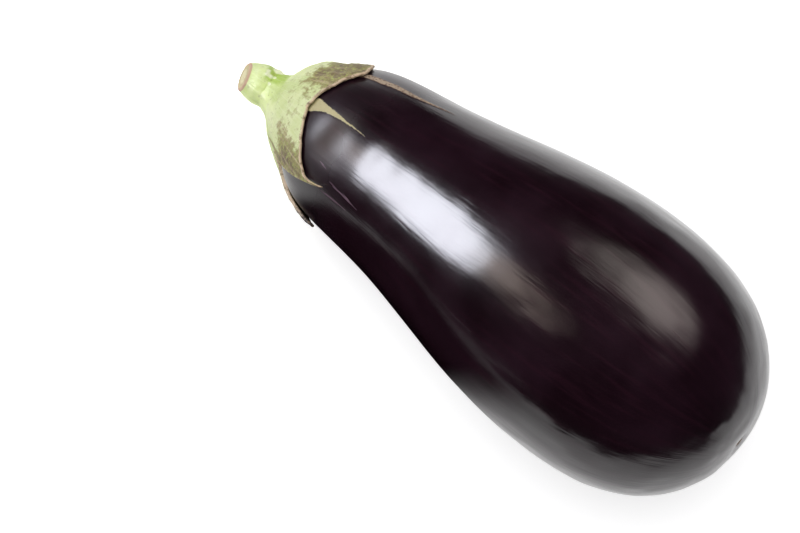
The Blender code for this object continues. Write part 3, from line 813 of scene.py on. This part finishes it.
def floor_look(settings):
    """Matt white laminate, lit a little from within like a light table: even and pale, with the faintest
    cloudiness."""
    look, tree, shader = new_look("matt_white_laminate")
    place = node(tree, "TexCoord").outputs["Object"]
    cloud = node(tree, "TexNoise", {"Vector": place, "Scale": 1 / settings.floor_clouds,
                                    "Detail": 2}).outputs[0]
    cloud = node(tree, "MapRange", {"Value": cloud, "From Min": 0.3, "From Max": 0.7,
                                    "To Max": 0.3}).outputs[0]
    colour = painted(tree, settings.floor, [(cloud, settings.floor_cloudy)])
    tree.links.new(colour, shader.inputs["Base Color"])
    shader.inputs["Roughness"].default_value = 0.7
    shader.inputs["Specular IOR Level"].default_value = 0.2
    shader.inputs["Emission Color"].default_value = settings.floor
    shader.inputs["Emission Strength"].default_value = settings.floor_glow
    return look


def round_glow(tree, spot, hold):
    """1 in the middle of a cloth and 0 outside the circle in it; from the share hold of the way out it
    fades."""
    spot = node(tree, "VectorMath", {0: spot, 1: (2, 2, 0), 2: (-1, -1, 0)},
                operation="MULTIPLY_ADD").outputs[0]
    out = node(tree, "VectorMath", {0: spot}, operation="LENGTH").outputs["Value"]
    return node(tree, "MapRange", {"Value": out, "From Min": 1.0, "From Max": hold},
                interpolation_type="SMOOTHSTEP").outputs[0]


def square_glow(tree, spot, fades):
    """1 in the middle of a cloth and 0 at its sides; fades has start, full, hold and stop for each axis."""
    place = node(tree, "SeparateXYZ", {0: spot})
    glow = 1.0
    for axis, (start, full, hold, stop) in zip("XY", fades):
        for low, high in ((start, full), (stop, hold)):
            ease = node(tree, "MapRange", {"Value": place.outputs[axis], "From Min": low, "From Max": high},
                        interpolation_type="SMOOTHSTEP").outputs[0]
            glow = node(tree, "Math", {0: ease, 1: glow}, operation="MULTIPLY").outputs[0]
    return glow


def cloth_look(name, light, tint, glow, fades):
    """Lit diffusion cloth: an even glow in the middle that thins to nothing at its edges."""
    look = bpy.data.materials.new(name)
    look.use_nodes = True
    tree = look.node_tree
    tree.nodes.remove(tree.nodes["Principled BSDF"])
    share = glow(tree, node(tree, "TexCoord").outputs["Generated"], fades)
    lamp = node(tree, "Emission", {"Color": tint, "Strength": light}).outputs[0]
    clear = node(tree, "BsdfTransparent").outputs[0]
    cloth = node(tree, "MixShader", {0: share, 1: clear, 2: lamp}).outputs[0]
    tree.links.new(cloth, tree.nodes["Material Output"].inputs["Surface"])
    return look


def hang_cloth(name, aim, direction, away, size, along, look):
    """Hangs a cloth of this size so that it faces a point from a direction, its first side along a way.  Only
    reflections show it."""
    bpy.ops.mesh.primitive_grid_add(x_subdivisions=2, y_subdivisions=2, size=1)
    cloth = bpy.context.object
    cloth.name = name
    facing = -Vector(direction).normalized()
    first = Vector(along)
    first = (first - first.dot(facing) * facing).normalized()
    second = facing.cross(first)
    cloth.matrix_world = (Matrix.Translation(Vector(aim) - facing * away)
                          @ Matrix((first, second, facing)).transposed().to_4x4()
                          @ Matrix.Diagonal((*size, 1, 1)))
    cloth.data.materials.append(look)
    cloth.visible_camera = False
    cloth.visible_diffuse = False
    cloth.visible_shadow = False


def hang_cloths(settings):
    """The softboxes' cloths that the skin mirrors: the tall key with its warm spill, the wide fill, the sheet
    beyond the fruit, the veil that dims the key on the neck, and a dark flag like a dark neighbour."""
    along = Vector(LYING_TURN @ (0, 0, -1))
    up_neck = Vector(SHOULDER) - KEY_UP_NECK * along
    beyond = Vector(BELLY) + Vector(FILL_BEYOND)
    neck = Vector(on_skin(VEIL_TO, VEIL_ANGLE)) + Vector(KEY_FROM).normalized() * VEIL_OFF
    hang_cloth("key_softbox", up_neck, KEY_FROM, KEY_AWAY, KEY_SIZE, along,
               cloth_look("key_cloth", settings.key_light, settings.key_tint, round_glow, KEY_ROUND))
    hang_cloth("key_spill", SHOULDER, KEY_FROM, SPILL_AWAY, SPILL_SIZE, along,
               cloth_look("spill_cloth", settings.tail_light, settings.tail_tint, square_glow, SPILL_FADES))
    hang_cloth("fill_softbox", beyond, FILL_FROM, FILL_AWAY, FILL_SIZE, FILL_ALONG,
               cloth_look("fill_cloth", settings.fill_light, settings.fill_tint, round_glow, FILL_ROUND))
    hang_cloth("side_sheet", SHEET_AT, (0, 0, 1), 0, SHEET_SIZE, along,
               cloth_look("side_cloth", settings.side_light, settings.floor, square_glow, SHEET_FADES))
    hang_cloth("neck_veil", neck, KEY_FROM, 0, VEIL_SIZE, along,
               cloth_look("veil_cloth", settings.veil_light, settings.tail_tint, square_glow, VEIL_FADES))
    hang_cloth("dark_flag", FLAG_AT, FLAG_FROM, 0, FLAG_SIZE, along,
               cloth_look("flag_cloth", 0.0, settings.floor, square_glow, FLAG_FADES))


def shine_sky(settings):
    """The broad light from above, which only the matt surfaces take."""
    sky = bpy.data.lights.new("sky_light", "SUN")
    sky.energy = settings.sky_light
    sky.angle = radians(SKY_SPREAD)
    lamp = bpy.data.objects.new("sky_light", sky)
    bpy.context.scene.collection.objects.link(lamp)
    lamp.rotation_euler = (0, -radians(SKY_LEAN), 0)
    lamp.visible_glossy = False


def place_camera(settings):
    """Looks down on the lying fruit from its side."""
    azimuth, height = settings.azimuth, settings.elevation
    back = Vector((sin(azimuth) * cos(height), -cos(azimuth) * cos(height), sin(height)))
    right = Vector((cos(azimuth), sin(azimuth), 0))
    up = back.cross(right)
    middle = Vector((np.array([0, 0, -LENGTH / 2]) @ LYING_TURN.T + LYING_PLACE) * MM)
    data = bpy.data.cameras.new("camera")
    data.lens = settings.lens
    data.sensor_width = 36
    data.clip_start = 0.01
    camera = bpy.data.objects.new("camera", data)
    bpy.context.scene.collection.objects.link(camera)
    camera.matrix_world = (Matrix.Translation(middle + back * settings.away - right * settings.aside
                                              + up * settings.below)
                           @ Matrix((right, up, back)).transposed().to_4x4())
    bpy.context.scene.camera = camera


def light_world(settings):
    """The studio's walls: the skin mirrors them as a dim grey, and the camera sees a white backdrop."""
    world = bpy.data.worlds.new("studio")
    bpy.context.scene.world = world
    world.use_nodes = True
    tree = world.node_tree
    seen = node(tree, "LightPath").outputs["Is Camera Ray"]
    walls = painted(tree, settings.room, [(seen, settings.backdrop)])
    tree.links.new(walls, tree.nodes["Background"].inputs["Color"])


# ---- settings, operators and panel ----------------------------------------------------------------------

class FruitSettings(bpy.types.PropertyGroup):
    """Sizes and colours of the fruit's skin."""
    rings: IntProperty(name="Rings", description="Rows of faces from crown to tip", default=300, min=40)
    segments: IntProperty(name="Segments", description="Faces round the fruit", default=320, min=24)
    unevenness: size_setting("Unevenness", 0.28, "Height of the skin's broad swells")
    fibre_height: size_setting("Fibre height", 0.03, "Height of the fine fibres along the skin")
    blossom_scar: size_setting("Blossom scar", 3.0, "Radius of the scar at the blossom end")
    blossom_dimple: size_setting("Blossom dimple", 0.4, "Depth of the dimple round that scar")
    skin: colour_setting("Skin", "#12040A", "Near-black purple of the ripe skin")
    skin_warm: colour_setting("Warm skin", "#22101A", "Redder skin where it is thinner")
    streak: colour_setting("Streak", "#2E131F", "Faint lengthwise streaks")
    scratch: colour_setting("Scratch", "#5B3F52", "Dull mauve of a dry scratch")
    husk_scar: colour_setting("Husk scar", "#B0A67A", "Khaki skin that the calyx covered")
    husk_scar_pale: colour_setting("Pale husk scar", "#BDB48A", "Paler grain in that scar")
    cork: colour_setting("Cork", "#A5927C", "Tan of healed cork")
    cork_dark: colour_setting("Dark cork", "#5C4234", "Brown edges and specks of the cork")


class HuskSettings(bpy.types.PropertyGroup):
    """Colours of the calyx and the stem, and how finely they are meshed."""
    rounds: IntProperty(name="Rounds", description="Faces round the calyx", default=860, min=48)
    sections: IntProperty(name="Sections", description="Faces round its cross-section", default=112, min=12)
    stem_rings: IntProperty(name="Stem rings", description="Rows of faces on the stem", default=220, min=24)
    stem_segments: IntProperty(name="Stem segments", description="Faces round the stem", default=240, min=16)
    stem_green: colour_setting("Stem green", "#DEEDA0", "Pale yellow-green of the stem")
    husk_green: colour_setting("Calyx green", "#CDD49C", "Duller green of the calyx")
    # Pale green also lies on the blisters' tops, partly their own colour and partly a painted highlight.
    husk_pale: colour_setting("Pale green", "#E6EBC4", "Lighter bloom and veins")
    # Deep green is the dried lobes' real green specks, and also painted shade in the hollows.
    deep_green_and_hollow_shade: colour_setting("Deep green", "#A2B858", "Green of the hollows")
    bed_green: colour_setting("Bed green", "#A3BF45", "Fresh green round the stem's blisters")
    olive: colour_setting("Olive", "#8A8148", "Lobes that have begun to dry")
    brown: colour_setting("Brown", "#6A5A3A", "Dried tips")
    dot: colour_setting("Dots", "#6F7044", "Small dark dots")
    edge: colour_setting("Edge", "#D3BA9C", "Cream line along the rim")
    edge_dark: colour_setting("Dark edge", "#7A6147", "Brown stretches of that line")
    scorched: colour_setting("Scorched", "#2E211A", "Driest tips")


class CutSettings(bpy.types.PropertyGroup):
    """Colours of the stem's cut face."""
    pith: colour_setting("Pith", "#DED7AE", "Pale middle of the cut")
    ring: colour_setting("Ring", "#C5B78A", "Fibres round the pith")
    bark: colour_setting("Bark", "#C7A58C", "Pinkish dried rim of the cut")


class StageSettings(bpy.types.PropertyGroup):
    """The camera, the floor and the lights."""
    azimuth: FloatProperty(name="Azimuth", description="Camera's direction", default=radians(40.53),
                           subtype="ANGLE")
    elevation: FloatProperty(name="Elevation", description="Camera's height angle", default=radians(76.77),
                             subtype="ANGLE")
    away: size_setting("Away", 788, "Camera's distance to the fruit's middle")
    aside: size_setting("Aside", 39.96, "How far right of the view's middle the fruit is")
    below: size_setting("Below", 0.9, "How far below the view's middle the fruit is")
    lens: FloatProperty(name="Lens", description="Focal length in mm", default=100, min=10)
    floor_size: size_setting("Floor", 800, "Side of the floor")
    floor_clouds: FloatProperty(name="Floor clouds", description="Width of the floor's clouds", default=1 / 3,
                                min=0.01, unit="LENGTH")
    floor_glow: FloatProperty(name="Floor glow", description="Light from within the floor", default=0.56,
                              min=0)
    sky_light: FloatProperty(name="Sky light", description="Strength of the broad light from above",
                             default=3.0, min=0)
    key_light: FloatProperty(name="Key light", description="Radiance of the tall softbox", default=28, min=0)
    tail_light: FloatProperty(name="Tail light", description="Radiance of its warm spill", default=5.5, min=0)
    fill_light: FloatProperty(name="Fill light", description="Radiance of the wide softbox", default=4.5,
                              min=0)
    side_light: FloatProperty(name="Side light", description="Radiance of the sheet beyond the fruit",
                              default=1.9, min=0)
    veil_light: FloatProperty(name="Veil light", description="Radiance of the veil over the neck",
                              default=2.0, min=0)
    floor: colour_setting("Floor", "#F3F3F3", "Matt white floor")
    floor_cloudy: colour_setting("Cloudy floor", "#F1F1F1", "Its slightly greyer clouds")
    backdrop: colour_setting("Backdrop", "#FFFFFF", "White wall behind the floor")
    room: colour_setting("Room", "#343236", "Grey of the dim room")
    key_tint: colour_setting("Key tint", "#F2F5FF", "Cool white of the tall softbox")
    tail_tint: colour_setting("Tail tint", "#F7E4D6", "Warm white of its spill")
    fill_tint: colour_setting("Fill tint", "#FFF3EC", "White of the wide softbox")


class EGGPLANT_OT_fruit(bpy.types.Operator):
    """Adds the dark fruit with its scars"""
    bl_idname = "eggplant.fruit"
    bl_label = "Fruit"

    def execute(self, context):
        settings = context.scene.eggplant_fruit
        ball = turned_ball(settings.rings, settings.segments)
        points, marks = fruit_shape(vertices_of(ball.data), settings.rings)
        for name, values in marks.items():
            note(ball.data, name, values)
        finish_piece(ball, "skinned_fruit", "fruit", points, skin_look(settings))
        return {"FINISHED"}


class EGGPLANT_OT_calyx(bpy.types.Operator):
    """Adds the leathery calyx that grips the crown"""
    bl_idname = "eggplant.calyx"
    bl_label = "Calyx"

    def execute(self, context):
        settings = context.scene.eggplant_husk
        bpy.ops.mesh.primitive_torus_add(major_segments=settings.rounds, minor_segments=settings.sections,
                                         major_radius=1.0, minor_radius=0.4)
        ring = context.object
        points, noted = calyx_shape(vertices_of(ring.data), settings.sections)
        for name, values in noted.items():
            note(ring.data, name, values)
        look = husk_look("drying_calyx_leather", settings)
        finish_piece(ring, "leathery_calyx", "calyx", points, look)
        return {"FINISHED"}


class EGGPLANT_OT_stem(bpy.types.Operator):
    """Adds the blistered stem with its cut end"""
    bl_idname = "eggplant.stem"
    bl_label = "Stem"

    def execute(self, context):
        settings = context.scene.eggplant_husk
        ball = turned_ball(settings.stem_rings, settings.stem_segments)
        points, noted = stem_shape(vertices_of(ball.data), settings.stem_rings)
        for name, values in noted.items():
            note(ball.data, name, values)
        look = husk_look("fleshy_green_stem", settings, context.scene.eggplant_cut)
        finish_piece(ball, "warty_stem", "stem", points, look)
        return {"FINISHED"}


class EGGPLANT_OT_stage(bpy.types.Operator):
    """Adds the floor, the lights and the camera"""
    bl_idname = "eggplant.stage"
    bl_label = "Stage"

    def execute(self, context):
        settings = context.scene.eggplant_stage
        bpy.ops.mesh.primitive_plane_add(size=settings.floor_size)
        floor = context.object
        floor.name = "floor"
        floor.data.materials.append(floor_look(settings))
        hang_cloths(settings)
        shine_sky(settings)
        light_world(settings)
        place_camera(settings)
        context.scene.view_settings.view_transform = "Standard"
        return {"FINISHED"}


class EGGPLANT_PT_panel(bpy.types.Panel):
    """Lists the eggplant's pieces"""
    bl_idname = "EGGPLANT_PT_panel"
    bl_label = "Eggplant"
    bl_space_type = "VIEW_3D"
    bl_region_type = "UI"
    bl_category = "Eggplant"

    def draw(self, context):
        """Lists the settings, then the operators."""
        for group in SETTINGS:
            held = getattr(context.scene, group)
            for name in held.bl_rna.properties.keys():
                if name not in ("rna_type", "name"):
                    self.layout.prop(held, name)
        for operator in OPERATORS:
            self.layout.operator(operator.bl_idname)


SETTINGS = {"eggplant_fruit": FruitSettings, "eggplant_husk": HuskSettings, "eggplant_cut": CutSettings,
            "eggplant_stage": StageSettings}
OPERATORS = (EGGPLANT_OT_fruit, EGGPLANT_OT_calyx, EGGPLANT_OT_stem, EGGPLANT_OT_stage)


def register():
    """Adds the add-on's classes and their settings on the scene."""
    for made in (*SETTINGS.values(), *OPERATORS, EGGPLANT_PT_panel):
        bpy.utils.register_class(made)
    for name, made in SETTINGS.items():
        setattr(bpy.types.Scene, name, PointerProperty(type=made))


def unregister():
    """Takes them off again."""
    for name in SETTINGS:
        delattr(bpy.types.Scene, name)
    for made in (EGGPLANT_PT_panel, *OPERATORS, *SETTINGS.values()):
        bpy.utils.unregister_class(made)


def main():
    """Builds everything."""
    register()
    bpy.ops.eggplant.stage()
    bpy.ops.eggplant.fruit()
    bpy.ops.eggplant.calyx()
    bpy.ops.eggplant.stem()


if __name__ == "__main__":
    main()
